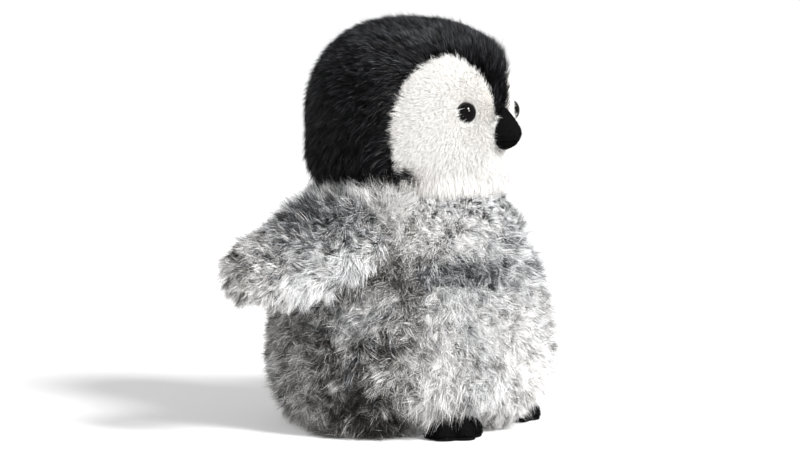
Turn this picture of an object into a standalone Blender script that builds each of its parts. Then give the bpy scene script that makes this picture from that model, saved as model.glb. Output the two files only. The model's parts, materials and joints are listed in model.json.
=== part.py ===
"""A plush penguin chick, standing on its base and facing -Y, built as the sewn and stuffed toy it is.

Every size below is in millimetres. The toy stands on z = 0 with its axis at the origin.
"""

from math import atan2, cos, hypot, pi, radians, sin, sqrt

import bmesh
import bpy
from mathutils import Matrix, Vector

MM = 0.001

# ---- driving dimensions -------------------------------------------------------------------
SEAM_GAP = 0.5  # free width of every seam, so that panels are separate pieces
FIT_GAP = 0.7  # between a skin and the stuffing inside it
AROUND = 24  # facets round the torso and the head

# torso: radius and height of the skin's outer face, from the base seam up to the collar
TORSO_PROFILE = [
    (53.0, 2.2), (63.5, 5.5), (72.0, 17.0), (75.5, 28.0), (77.0, 40.0), (77.0, 54.0), (74.8, 70.0),
    (70.5, 85.0), (65.5, 100.0), (60.8, 114.0), (57.2, 124.0), (54.8, 131.0), (51.0, 136.0),
]
TORSO_SKIN = 5.0  # backing cloth and its dense pile
BASE_THICK = 3.0
BASE_RADIUS = 49.0
BELLY_SEAM_Y = 12.0  # the side seams stand this far behind the axis

# head: a ball below its centre, a fuller dome above it
HEAD_CENTRE_Z = 172.0
HEAD_RADIUS = 58.5
HEAD_TOP_Z = 233.0
DOME_POWER = 2.6
CROWN_LEAN = 0.04  # the crown leans forwards by this share of its height
HEAD_SKIN = 3.4
HEAD_SKIN_BOTTOM_Z = 128.0  # tucked into the collar
SOCKET_GAP = 1.4  # round the ball of the head, inside the torso

# face: two white lobes, a white throat between them, a black gusset over the crown
LOBE_AZIMUTH = radians(38.0)  # from straight ahead
LOBE_HALF_WIDTH = 31.0
LOBE_HALF_HEIGHT = 41.0
LOBE_CENTRE_Z = 172.0
LOBE_BAR_LENGTH = 60.0
LOBE_BAR_RADIUS = 52.0  # the middle of the bar that cuts a lobe, from the head's axis
GUSSET_HALF_WIDTH = 10.0
THROAT_TOP_Z = 166.0
THROAT_AZIMUTH = radians(62.0)  # the throat's side edges, from straight ahead

# eyes: 12 mm domes on shanks, held by washers behind the face cloth
EYE_AZIMUTH = radians(29.8)
EYE_Z = 182.5
EYE_TILT = radians(5.0)
EYE_RADIUS = 6.0
EYE_HEIGHT = 5.0
EYE_SEAT_RADIUS = 58.7  # the flat back of the eye, from the head's axis
EYE_SEAT_GAP = 0.4
EYE_SEAT_CLEARANCE = 0.6
SHANK_RADIUS = 2.0
SHANK_LENGTH = 14.0
SHANK_HOLE_CLEARANCE = 0.5
WASHER_RADIUS = 6.5
WASHER_THICK = 1.4
WASHER_FRONT = -6.0  # from the eye's flat back, behind the face cloth
WASHER_BORE_CLEARANCE = 0.3
WASHER_POCKET_CLEARANCE = 0.8

# beak: a small felt wedge
BEAK_BASE_Y = -59.5
BEAK_TIP_Y = -70.5
BEAK_TOP_Z = 186.3
BEAK_TIP_Z = 171.0
BEAK_BOTTOM_Z = 160.6
BEAK_HALF_WIDTH = 11.0
BEAK_BRIDGE_SHARE = 0.38  # the bridge's width at its top, as a share of the beak's
BEAK_MOUTH_Z = 165.5
BEAK_FELT = 1.3
BEAK_STUFFING_TOP_Z = 178.0

# flippers: root and tip of the right one, and which way its outer face looks
FLIPPER_ROOT = Vector((-65.5, -13.0, 119.0))
FLIPPER_TIP = Vector((-124.0, 46.0, 91.0))
FLIPPER_FACE = Vector((-0.68, -0.45, 0.50))
FLIPPER_HALF_WIDTH = 20.0
FLIPPER_HALF_THICK = 8.0
FLIPPER_SKIN = 2.0

# feet: centre of each pad, which way it points, its size
FOOT_CENTRE = Vector((39.5, -47.5, 0.0))
FOOT_SPLAY = radians(20.0)
FOOT_HALF_LENGTH = 15.0
FOOT_HALF_WIDTH = 17.0
FOOT_HEIGHT = 13.0
FOOT_HEEL_HEIGHT = 5.0
FOOT_SOLE_THICK = 1.8
FOOT_CLOTH = 1.5
TOE_BULGE = 0.26  # how far each of the three toes stands out, as a share of the pad
TOE_GROOVE = radians(31.0)  # the grooves between the toes, from the middle one's line
DENT_RADIUS = 44.0  # the torso keeps within this radius behind each foot
DENT_TOP_Z = 28.0

# beans in the seat
POUCH_RADIUS = 36.5
POUCH_CENTRE_Y = 4.0  # back from the axis, clear of the feet
BEAN_BOTTOM_Z = 6.5
BEAN_TOP_Z = 29.0
BEAN_CLOTH = 1.0
STUFFING_BOTTOM_Z = 31.0

THREAD_RADIUS = 0.55
NECK_THREAD_Z = 137.8
NECK_THREAD_RADIUS = 51.2
NECK_THREAD_STEPS = 36
CLOSING_LOW_Z = 66.0
CLOSING_HIGH_Z = 108.0
CLOSING_STITCHES = 6
CLOSING_HALF_WIDTH = 1.6


# ---- scene, materials and small helpers ---------------------------------------------------
def clear_scene():
    for obj in list(bpy.data.objects):
        bpy.data.objects.remove(obj)


def new_collection(name):
    made = bpy.data.collections.new(name)
    bpy.context.scene.collection.children.link(made)
    return made


def new_material(name, colour, roughness, metallic=0.0):
    made = bpy.data.materials.new(name)
    made.use_nodes = True
    shader = made.node_tree.nodes["Principled BSDF"]
    shader.inputs["Base Color"].default_value = (*colour, 1.0)
    shader.inputs["Roughness"].default_value = roughness
    shader.inputs["Metallic"].default_value = metallic
    return made


def face_outwards(bm):
    """Points the faces of a closed or bulging surface away from its middle."""
    bmesh.ops.recalc_face_normals(bm, faces=bm.faces)
    middle = sum((v.co for v in bm.verts), Vector()) / len(bm.verts)
    volume = sum((f.calc_center_median() - middle).dot(f.normal) * f.calc_area() for f in bm.faces)
    if volume < 0:
        bmesh.ops.reverse_faces(bm, faces=bm.faces)


def new_pivot(name, place):
    """An empty on the axis of a moving body's joint, which that body's pieces are parented to."""
    made = bpy.data.objects.new(name, None)
    made.location = Vector(place) * MM
    toy.objects.link(made)
    return made


def object_from(bm, name, material=None, pivot=None):
    """Turns a bmesh in millimetres into a named object, smooth shaded, with its origin at its pivot."""
    face_outwards(bm)
    if pivot:
        bmesh.ops.translate(bm, vec=-pivot.location / MM, verts=bm.verts)
    bmesh.ops.scale(bm, vec=(MM, MM, MM), verts=bm.verts)
    mesh = bpy.data.meshes.new(name)
    bm.to_mesh(mesh)
    bm.free()
    mesh.shade_smooth()
    mesh.set_sharp_from_angle(angle=radians(40))
    obj = bpy.data.objects.new(name, mesh)
    obj.parent = pivot
    toy.objects.link(obj)
    if material:
        mesh.materials.append(material)
    return obj


def cutter_from(bm, name):
    obj = object_from(bm, name)
    toy.objects.unlink(obj)
    cutters.objects.link(obj)
    obj.hide_render = True
    obj.display_type = "WIRE"
    return obj


def boolean(obj, operation, *others):
    for other in others:
        cut = obj.modifiers.new(operation.lower(), "BOOLEAN")
        cut.operation = operation
        cut.solver = "EXACT"
        cut.object = other
    return obj


def deform(bm, place):
    for vert in bm.verts:
        vert.co = place(vert.co.copy())
    return bm


def keep_side(bm, point, normal, cap=False):
    """Cuts by a plane and keeps the side that the normal points away from."""
    everything = bm.verts[:] + bm.edges[:] + bm.faces[:]
    cut = bmesh.ops.bisect_plane(
        bm, geom=everything, dist=1e-5, plane_co=point, plane_no=normal, clear_outer=True
    )
    if cap:
        edges = [e for e in cut["geom_cut"] if isinstance(e, bmesh.types.BMEdge)]
        bmesh.ops.triangle_fill(bm, use_beauty=True, edges=edges, normal=normal)
    return bm


def thicken(bm, thickness):
    """Gives an open skin its thickness, inwards, and closes its rim."""
    face_outwards(bm)
    bmesh.ops.solidify(bm, geom=bm.faces, thickness=thickness)
    return bm


def offset_inwards(profile, depth):
    """A profile of (radius, height) points that runs upwards, moved in along its own normals."""
    line = [Vector(point) for point in profile]
    moved = []
    for i, point in enumerate(line):
        run = (line[min(i + 1, len(line) - 1)] - line[max(i - 1, 0)]).normalized()
        moved.append((point.x - run.y * depth, point.y + run.x * depth))
    return moved


def turned(profile, steps=AROUND):
    """A surface of revolution about Z from (radius, height) points."""
    bm = bmesh.new()
    verts = [bm.verts.new((0.0, -radius, height)) for radius, height in profile]
    edges = [bm.edges.new(pair) for pair in zip(verts, verts[1:])]
    bmesh.ops.spin(
        bm, geom=verts + edges, cent=(0, 0, 0), axis=(0, 0, 1), angle=2 * pi, steps=steps,
        use_merge=True,
    )
    bmesh.ops.remove_doubles(bm, verts=bm.verts, dist=0.01)
    bmesh.ops.recalc_face_normals(bm, faces=bm.faces)
    return bm


def inset(bm, depth):
    """Moves a closed surface inwards along its normals."""
    bm.normal_update()
    offsets = {vert: -depth * vert.normal for vert in bm.verts}
    for vert, offset in offsets.items():
        vert.co += offset
    return bm


def smoothstep(low, high, value):
    t = min(max((value - low) / (high - low), 0.0), 1.0)
    return t * t * (3 - 2 * t)


def thread(name, points, pivot=None, cyclic=False):
    """A sewing thread as a thin round tube through the points."""
    middle = pivot.location / MM if pivot else Vector()
    curve = bpy.data.curves.new(name, "CURVE")
    curve.dimensions = "3D"
    curve.bevel_depth = THREAD_RADIUS * MM
    curve.bevel_resolution = 1
    curve.use_fill_caps = True
    spline = curve.splines.new("POLY")
    spline.points.add(len(points) - 1)
    spline.use_cyclic_u = cyclic
    for target, point in zip(spline.points, points):
        target.co = (*((Vector(point) - middle) * MM), 1.0)
    obj = bpy.data.objects.new(name, curve)
    obj.parent = pivot
    toy.objects.link(obj)
    curve.materials.append(black_thread)
    return obj


# ---- torso --------------------------------------------------------------------------------
def foot_dent(point):
    """How far the torso is pushed in over each foot, from 0 to 1, so that the pad has its room."""
    azimuth = abs(atan2(point.x, -point.y))
    spread = 1 - smoothstep(0.24, 0.56, abs(azimuth - atan2(FOOT_CENTRE.x, -FOOT_CENTRE.y)))
    return spread * (1 - smoothstep(FOOT_HEIGHT + 1, DENT_TOP_Z, point.z))


def dented(point, behind=DENT_RADIUS):
    """Pushes a torso point in to the radius that stays behind the foot's heel."""
    reach = hypot(point.x, point.y)
    if reach <= max(behind, 1.0):
        return point
    share = 1 - (1 - behind / reach) * foot_dent(point)
    return Vector((point.x * share, point.y * share, point.z))


def torso_skin():
    return deform(turned(TORSO_PROFILE), dented)


def torso_panel(name, planes, material):
    bm = thicken(torso_skin(), TORSO_SKIN)
    for point, normal in planes:
        keep_side(bm, point, normal, cap=True)
    return object_from(bm, name, material)


def build_torso():
    half = SEAM_GAP / 2
    torso_panel("belly_panel", [((0, BELLY_SEAM_Y - half, 0), (0, 1, 0))], grey_pile)
    for side, name in ((-1, "back_panel_right"), (1, "back_panel_left")):
        planes = [((0, BELLY_SEAM_Y + half, 0), (0, -1, 0)), ((side * half, 0, 0), (-side, 0, 0))]
        torso_panel(name, planes, grey_pile)
    base = turned([(0.0, 0.0), (BASE_RADIUS - 2.5, 0.0), (BASE_RADIUS, 1.2)])
    rim_step = BASE_RADIUS - DENT_RADIUS + TORSO_SKIN + 1
    deform(base, lambda p: dented(p, hypot(p.x, p.y) - rim_step))
    object_from(thicken(base, BASE_THICK), "base_panel", grey_pile)
    build_body_stuffing()
    build_beans()
    build_closing_thread()


def build_body_stuffing():
    """The torso's filling: flat over the beans, hollow on top where the ball of the head sits."""
    ball = HEAD_RADIUS + SOCKET_GAP
    rim_z = TORSO_PROFILE[-1][1] - TORSO_SKIN
    inside = offset_inwards(TORSO_PROFILE, TORSO_SKIN + FIT_GAP)
    wall = [(r, z) for r, z in inside if STUFFING_BOTTOM_Z < z < rim_z - 2]
    rim_angle = atan2(sqrt(ball**2 - (HEAD_CENTRE_Z - rim_z) ** 2), HEAD_CENTRE_Z - rim_z)
    hollow = []
    for k in range(7):
        angle = rim_angle * (1 - k / 6)
        hollow.append((ball * sin(angle), HEAD_CENTRE_Z - ball * cos(angle)))
    first = wall[0][0]
    outline = [(0.0, STUFFING_BOTTOM_Z), (first - 3, STUFFING_BOTTOM_Z), *wall, *hollow]
    outline[-1] = (0.0, outline[-1][1])
    bm = deform(turned(outline), dented)
    object_from(bm, "body_stuffing", stuffing)


def build_beans():
    """The weighted seat: a flat pouch of two cloth discs, filled with plastic beans."""
    middle = (BEAN_BOTTOM_Z + BEAN_TOP_Z) / 2
    half = (BEAN_TOP_Z - BEAN_BOTTOM_Z) / 2

    def cushion(shrink):
        bm = bmesh.new()
        bmesh.ops.create_uvsphere(bm, u_segments=18, v_segments=8, radius=1.0)
        wide, tall = POUCH_RADIUS - shrink, half - shrink
        return deform(bm, lambda p: Vector((p.x * wide, p.y * wide + POUCH_CENTRE_Y, middle + p.z * tall)))

    for name, up in (("bean_bag_top", -1), ("bean_bag_bottom", 1)):
        bm = thicken(cushion(0.0), BEAN_CLOTH)
        keep_side(bm, (0, 0, middle - up * SEAM_GAP / 2), (0, 0, up), cap=True)
        object_from(bm, name, lining)
    object_from(cushion(BEAN_CLOTH + FIT_GAP), "bean_pellets", pellets)


def torso_radius(height):
    """The torso skin's outer radius at a height, on its straight facets."""
    for (r0, z0), (r1, z1) in zip(TORSO_PROFILE, TORSO_PROFILE[1:]):
        if z0 <= height <= z1:
            return r0 + (r1 - r0) * (height - z0) / (z1 - z0)
    return TORSO_PROFILE[-1][0]


def build_closing_thread():
    """The ladder stitch that closes the back seam, crossing from one side to the other."""
    points = []
    for k in range(2 * CLOSING_STITCHES + 1):
        height = CLOSING_LOW_Z + (CLOSING_HIGH_Z - CLOSING_LOW_Z) * k / (2 * CLOSING_STITCHES)
        side = CLOSING_HALF_WIDTH if (k // 2) % 2 else -CLOSING_HALF_WIDTH
        points.append((side, torso_radius(height) + THREAD_RADIUS + 0.5, height))
    thread("back_closing_thread", points)


# ---- head ---------------------------------------------------------------------------------
def head_profile():
    """Radius and height from the foot of the ball up to the top of the crown."""
    line = []
    for k in range(9):
        angle = pi / 2 * k / 9
        line.append((HEAD_RADIUS * sin(angle), HEAD_CENTRE_Z - HEAD_RADIUS * cos(angle)))
    rise = HEAD_TOP_Z - HEAD_CENTRE_Z
    for k in range(10):
        angle = pi / 2 * k / 9
        radius = HEAD_RADIUS * cos(angle) ** (2 / DOME_POWER) if k < 9 else 0.0
        line.append((radius, HEAD_CENTRE_Z + rise * sin(angle) ** (2 / DOME_POWER)))
    return line


def leaned(point):
    point.y -= CROWN_LEAN * max(point.z - HEAD_CENTRE_Z, 0.0)
    return point


def head_skin():
    bm = deform(turned(head_profile()), leaned)
    keep_side(bm, (0, 0, HEAD_SKIN_BOTTOM_Z), (0, 0, -1))
    return thicken(bm, HEAD_SKIN)


def outward(azimuth, tilt=0.0):
    """The direction at an angle from straight ahead (towards +X) and above the horizon."""
    return Vector((sin(azimuth) * cos(tilt), -cos(azimuth) * cos(tilt), sin(tilt)))


def lobe_cutter(side, grow, name):
    """An elliptic bar that stands out of the face where a white lobe is."""
    bm = bmesh.new()
    bmesh.ops.create_cone(
        bm, cap_ends=True, segments=28, radius1=1.0, radius2=1.0, depth=LOBE_BAR_LENGTH
    )
    wide, tall = LOBE_HALF_WIDTH + grow, LOBE_HALF_HEIGHT + grow
    bmesh.ops.scale(bm, vec=(wide, tall, 1.0), verts=bm.verts)
    bmesh.ops.rotate(bm, matrix=Matrix.Rotation(pi / 2, 3, "X"), verts=bm.verts)
    bmesh.ops.rotate(bm, matrix=Matrix.Rotation(side * LOBE_AZIMUTH, 3, "Z"), verts=bm.verts)
    centre = outward(side * LOBE_AZIMUTH) * LOBE_BAR_RADIUS + Vector((0, 0, LOBE_CENTRE_Z))
    bmesh.ops.translate(bm, vec=centre, verts=bm.verts)
    return cutter_from(bm, name)


def throat_side(side):
    """The upright plane at one side of the throat, facing away from it."""
    return Vector((side * cos(THROAT_AZIMUTH), sin(THROAT_AZIMUTH), 0))


def throat_cutter():
    bm = bmesh.new()
    bmesh.ops.create_cube(bm, size=200.0)
    bmesh.ops.translate(bm, vec=(0, -100, THROAT_TOP_Z + SEAM_GAP - 100), verts=bm.verts)
    for side in (-1, 1):
        keep_side(bm, throat_side(side) * SEAM_GAP, throat_side(side), cap=True)
    return cutter_from(bm, "throat_cutter")


def eye_axis(side):
    return outward(side * EYE_AZIMUTH, EYE_TILT)


def eye_bar(bm, side, radius, near, far, segments=16):
    """Adds a round bar along the eye's axis, from near to far of the eye's flat back."""
    bar = bmesh.ops.create_cone(
        bm, cap_ends=True, segments=segments, radius1=radius, radius2=radius, depth=far - near
    )
    turn = Vector((0, 0, 1)).rotation_difference(eye_axis(side)).to_matrix()
    seat = outward(side * EYE_AZIMUTH) * EYE_SEAT_RADIUS + Vector((0, 0, EYE_Z))
    bmesh.ops.rotate(bm, matrix=turn, verts=bar["verts"])
    bmesh.ops.translate(bm, vec=seat + eye_axis(side) * (near + far) / 2, verts=bar["verts"])
    return bm


def build_eye(side, label):
    """The eye's dome and shank in one, its washer, and the cutters for their seats."""
    bm = bmesh.new()
    bmesh.ops.create_uvsphere(bm, u_segments=20, v_segments=12, radius=1.0)
    keep_side(bm, (0, 0, 0), (0, 0, -1), cap=True)
    bmesh.ops.scale(bm, vec=(EYE_RADIUS, EYE_RADIUS, EYE_HEIGHT), verts=bm.verts)
    turn = Vector((0, 0, 1)).rotation_difference(eye_axis(side)).to_matrix()
    seat = outward(side * EYE_AZIMUTH) * EYE_SEAT_RADIUS + Vector((0, 0, EYE_Z))
    bmesh.ops.rotate(bm, matrix=turn, verts=bm.verts)
    bmesh.ops.translate(bm, vec=seat, verts=bm.verts)
    eye = object_from(bm, f"eye_{label}", eye_plastic, head_pivot)

    def bar_cutter(name, radius, near, far):
        return cutter_from(eye_bar(bmesh.new(), side, radius, near, far), f"{name}_{label}")

    boolean(eye, "UNION", bar_cutter("shank", SHANK_RADIUS, -SHANK_LENGTH, 1.0))
    beyond = SHANK_LENGTH + 4
    seat_cut = bar_cutter("eye_seat_cutter", EYE_RADIUS + EYE_SEAT_CLEARANCE, -EYE_SEAT_GAP, beyond)
    hole_cut = bar_cutter("eye_hole_cutter", SHANK_RADIUS + SHANK_HOLE_CLEARANCE, -beyond, 2.0)
    pocket = bar_cutter("washer_pocket", WASHER_RADIUS + WASHER_POCKET_CLEARANCE, -SHANK_LENGTH - 2, 3.0)

    disc = eye_bar(bmesh.new(), side, WASHER_RADIUS, WASHER_FRONT - WASHER_THICK, WASHER_FRONT)
    washer = object_from(disc, f"eye_washer_{label}", white_plastic, head_pivot)
    bore = bar_cutter("washer_bore", SHANK_RADIUS + WASHER_BORE_CLEARANCE, -beyond, 2.0)
    boolean(washer, "DIFFERENCE", bore)
    return seat_cut, hole_cut, pocket


def build_head():
    half = SEAM_GAP / 2
    lobes = {side: lobe_cutter(side, 0.0, f"lobe_{side + 1}") for side in (-1, 1)}
    wider = {side: lobe_cutter(side, SEAM_GAP, f"lobe_wide_{side + 1}") for side in (-1, 1)}
    throat = throat_cutter()
    pockets = []
    for side, label in ((-1, "right"), (1, "left")):
        seat_cut, hole_cut, pocket = build_eye(side, label)
        pockets.append(pocket)

        bm = keep_side(head_skin(), (side * half, 0, 0), (-side, 0, 0), cap=True)
        face = object_from(bm, f"face_{label}", white_pile, head_pivot)
        boolean(face, "INTERSECT", lobes[side])
        boolean(face, "DIFFERENCE", seat_cut, hole_cut)

        edge = side * (GUSSET_HALF_WIDTH + half)
        bm = keep_side(head_skin(), (edge, 0, 0), (-side, 0, 0), cap=True)
        black = object_from(bm, f"head_side_{label}", black_pile, head_pivot)
        boolean(black, "DIFFERENCE", throat, wider[side])

    bm = head_skin()
    for side in (-1, 1):
        keep_side(bm, (side * (GUSSET_HALF_WIDTH - half), 0, 0), (side, 0, 0), cap=True)
    gusset = object_from(bm, "crown_gusset", black_pile, head_pivot)
    boolean(gusset, "DIFFERENCE", throat, wider[-1], wider[1])

    bm = head_skin()
    keep_side(bm, (0, 0, THROAT_TOP_Z), (0, 0, 1), cap=True)
    for side in (-1, 1):
        keep_side(bm, (0, 0, 0), throat_side(side), cap=True)
    chin = object_from(bm, "throat_panel", white_pile, head_pivot)
    boolean(chin, "DIFFERENCE", wider[-1], wider[1])

    filling = inset(deform(turned(head_profile()), leaned), HEAD_SKIN + FIT_GAP)
    filling = object_from(filling, "head_stuffing", stuffing, head_pivot)
    boolean(filling, "DIFFERENCE", *pockets)


# ---- beak ---------------------------------------------------------------------------------
def beak_form():
    """A blunt wedge: a narrow bridge that slopes straight down to the tip, round and wide below."""
    bm = bmesh.new()
    bmesh.ops.create_uvsphere(bm, u_segments=14, v_segments=9, radius=1.0)
    bmesh.ops.rotate(bm, matrix=Matrix.Rotation(pi / 2, 3, "X"), verts=bm.verts)
    keep_side(bm, (0, 0, 0), (0, 1, 0), cap=True)
    long = BEAK_BASE_Y - BEAK_TIP_Y
    top, low = BEAK_TOP_Z - BEAK_TIP_Z, BEAK_TIP_Z - BEAK_BOTTOM_Z

    def place(p):
        rise = min(max(p.z, 0.0), 0.999)
        slope = (1 - rise**1.3) ** 0.9 / sqrt(1 - rise**2)  # from a round outline to a straight one
        forward = max(-p.y, 0.0) * slope
        wide = BEAK_HALF_WIDTH * (1.0 - (1 - BEAK_BRIDGE_SHARE) * rise**1.2)
        z = BEAK_TIP_Z + p.z * (top if p.z > 0 else low)
        return Vector((p.x * wide, BEAK_BASE_Y - long * forward, z))

    return deform(bm, place)


def build_beak():
    for name, up in (("beak_upper", -1), ("beak_lower", 1)):
        bm = beak_form()
        back = [f for f in bm.faces if all(v.co.y > BEAK_BASE_Y - 0.05 for v in f.verts)]
        bmesh.ops.delete(bm, geom=back, context="FACES")
        keep_side(bm, (0, 0, BEAK_MOUTH_Z - up * SEAM_GAP / 2), (0, 0, up))
        object_from(thicken(bm, BEAK_FELT), name, black_felt, head_pivot)
    core = inset(beak_form(), BEAK_FELT + 0.9)
    keep_side(core, (0, 0, BEAK_STUFFING_TOP_Z), (0, 0, 1), cap=True)
    object_from(core, "beak_stuffing", stuffing, head_pivot)


# ---- flippers -----------------------------------------------------------------------------
def flipper_axes(side):
    """The flipper's length, width and thickness directions, and its root, for one side."""
    flip = Vector((-side, 1, 1))
    root = FLIPPER_ROOT * flip
    along = ((FLIPPER_TIP - FLIPPER_ROOT) * flip).normalized()
    face = FLIPPER_FACE * flip
    face = (face - along * face.dot(along)).normalized()
    return root, along, along.cross(face), face


def flipper_form(side, edge=0.0, flat=0.0):
    """A long flat paddle, thin at the root and rounded at the tip, smaller by edge and by flat."""
    root, along, across, face = flipper_axes(side)
    length = (FLIPPER_TIP - FLIPPER_ROOT).length
    bm = bmesh.new()
    bmesh.ops.create_uvsphere(bm, u_segments=18, v_segments=12, radius=1.0)

    def place(p):
        reach = (p.z + 1) / 2  # 0 at the root, 1 at the tip
        blunt = hypot(p.x, p.y) ** 0.62
        turn = atan2(p.y, p.x)
        wide = (FLIPPER_HALF_WIDTH - edge) * blunt * (1.14 - 0.24 * reach) * cos(turn)
        thick = (FLIPPER_HALF_THICK - flat) * blunt * (0.72 + 0.36 * smoothstep(0, 0.4, reach)) * sin(turn)
        return root + along * (edge + (length - 2 * edge) * reach) + across * wide + face * thick

    return deform(bm, place)


def build_flipper(side, label):
    root, along, across, face = flipper_axes(side)
    pivot = new_pivot(f"shoulder_{label}", root)
    for name, up, cloth in (("outer", -1, grey_pile), ("inner", 1, white_pile)):
        bm = thicken(flipper_form(side), FLIPPER_SKIN)
        keep_side(bm, root - face * up * SEAM_GAP / 2, face * up, cap=True)
        object_from(bm, f"flipper_{name}_{label}", cloth, pivot)
    core = flipper_form(side, edge=FLIPPER_SKIN + 2.2, flat=FLIPPER_SKIN + 1.2)
    object_from(core, f"flipper_stuffing_{label}", stuffing, pivot)


# ---- feet ---------------------------------------------------------------------------------
def foot_place(side, local):
    """From the pad's own frame (Y back to front, X outwards) to the toy's."""
    turn = Matrix.Rotation(side * FOOT_SPLAY, 3, "Z")
    return turn @ Vector((side * local.x, -local.y, local.z)) + FOOT_CENTRE * Vector((side, 1, 1))


def foot_point(p, shrink=0.0):
    """A point of the unit ball to a point of the pad: three toes in front, low at the heel."""
    angle = atan2(p.x, p.y)
    front = smoothstep(-0.1, 0.35, cos(angle))
    toes = abs(cos(angle * pi / 2 / TOE_GROOVE))
    out = 1.0 + front * TOE_BULGE * (toes - 0.6)
    flat = hypot(p.x, p.y)
    reach = flat**0.8 / max(flat, 1e-6)
    x = p.x * reach * out * (FOOT_HALF_WIDTH - shrink)
    y = p.y * reach * out * (FOOT_HALF_LENGTH - shrink)
    share = smoothstep(-1.0, 0.35, p.y)
    tall = FOOT_HEEL_HEIGHT + (FOOT_HEIGHT - FOOT_HEEL_HEIGHT) * share
    groove = 1.0 - 0.16 * front * (1 - toes) * flat
    z = max(p.z, 0.0) ** 0.75 * (tall - shrink) * groove if p.z > 0 else 0.0
    return Vector((x, y, z))


def foot_form(side, shrink):
    bm = bmesh.new()
    bmesh.ops.create_uvsphere(bm, u_segments=36, v_segments=10, radius=1.0)
    keep_side(bm, (0, 0, 0), (0, 0, -1), cap=True)
    return deform(bm, lambda p: foot_place(side, foot_point(p, shrink)))


def build_foot(side, label):
    seam = FOOT_SOLE_THICK + SEAM_GAP
    pivot = new_pivot(f"heel_{label}", foot_place(side, Vector((0, -FOOT_HALF_LENGTH, 0))))
    bm = foot_form(side, 0.0)
    flat = [f for f in bm.faces if all(v.co.z < 0.01 for v in f.verts)]
    bmesh.ops.delete(bm, geom=flat, context="FACES")
    bmesh.ops.translate(bm, vec=(0, 0, seam), verts=bm.verts)
    deform(bm, lambda p: Vector((p.x, p.y, seam + (p.z - seam) * (1 - seam / FOOT_HEIGHT))))
    object_from(thicken(bm, FOOT_CLOTH), f"foot_upper_{label}", black_velour, pivot)

    bm = foot_form(side, 0.0)
    keep_side(bm, (0, 0, FOOT_SOLE_THICK), (0, 0, 1))
    top = [e for e in bm.edges if e.is_boundary]
    bmesh.ops.edgeloop_fill(bm, edges=top)
    object_from(bm, f"foot_sole_{label}", black_velour, pivot)

    bm = foot_form(side, FOOT_CLOTH + 2.4)
    lift = FOOT_SOLE_THICK + 0.5
    squeeze = (FOOT_HEIGHT - FOOT_CLOTH - 1.6 - lift) / (FOOT_HEIGHT - FOOT_CLOTH - 2.4)
    deform(bm, lambda p: Vector((p.x, p.y, lift + p.z * squeeze)))
    object_from(bm, f"foot_stuffing_{label}", stuffing, pivot)

    for name, way in (("inner", -1), ("outer", 1)):
        points = []
        for k in range(7):
            climb = radians(10 + 62 * k / 6)
            ball = outward(way * TOE_GROOVE, climb) * Vector((1, -1, 1))
            local = foot_point(ball)
            local.z = seam + local.z * (1 - seam / FOOT_HEIGHT)
            points.append(foot_place(side, local + ball * (THREAD_RADIUS + 0.8)))
        thread(f"toe_thread_{name}_{label}", points, pivot)


# ---- the toy ------------------------------------------------------------------------------
clear_scene()
toy = new_collection("plush_penguin")
cutters = new_collection("cutters")

grey_pile = new_material("grey_pile", (0.52, 0.52, 0.52), 0.9)
white_pile = new_material("white_pile", (0.90, 0.88, 0.85), 0.9)
black_pile = new_material("black_pile", (0.02, 0.02, 0.022), 0.85)
black_felt = new_material("black_felt", (0.012, 0.012, 0.013), 0.95)
black_velour = new_material("black_velour", (0.015, 0.015, 0.017), 0.9)
black_thread = new_material("black_thread", (0.03, 0.03, 0.03), 0.8)
stuffing = new_material("stuffing", (0.93, 0.93, 0.92), 1.0)
lining = new_material("lining", (0.85, 0.84, 0.80), 0.9)
pellets = new_material("pellets", (0.80, 0.80, 0.82), 0.5)
eye_plastic = new_material("eye_plastic", (0.01, 0.008, 0.007), 0.05)
white_plastic = new_material("white_plastic", (0.88, 0.88, 0.86), 0.4)

head_pivot = new_pivot("head_pivot", (0, 0, HEAD_CENTRE_Z))
build_torso()
build_head()
build_beak()
for foot_side, foot_label in ((-1, "right"), (1, "left")):
    build_foot(foot_side, foot_label)
for wing_side, wing_label in ((-1, "right"), (1, "left")):
    build_flipper(wing_side, wing_label)
ring = []
for step in range(NECK_THREAD_STEPS):
    spoke = outward(2 * pi * step / NECK_THREAD_STEPS)
    ring.append(spoke * NECK_THREAD_RADIUS + Vector((0, 0, NECK_THREAD_Z)))
thread("neck_thread", ring, head_pivot, cyclic=True)
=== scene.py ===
import json
import math

import bmesh
import bpy
import numpy as np
from mathutils import Matrix, Vector
from mathutils.bvhtree import BVHTree
from mathutils.kdtree import KDTree


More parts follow.
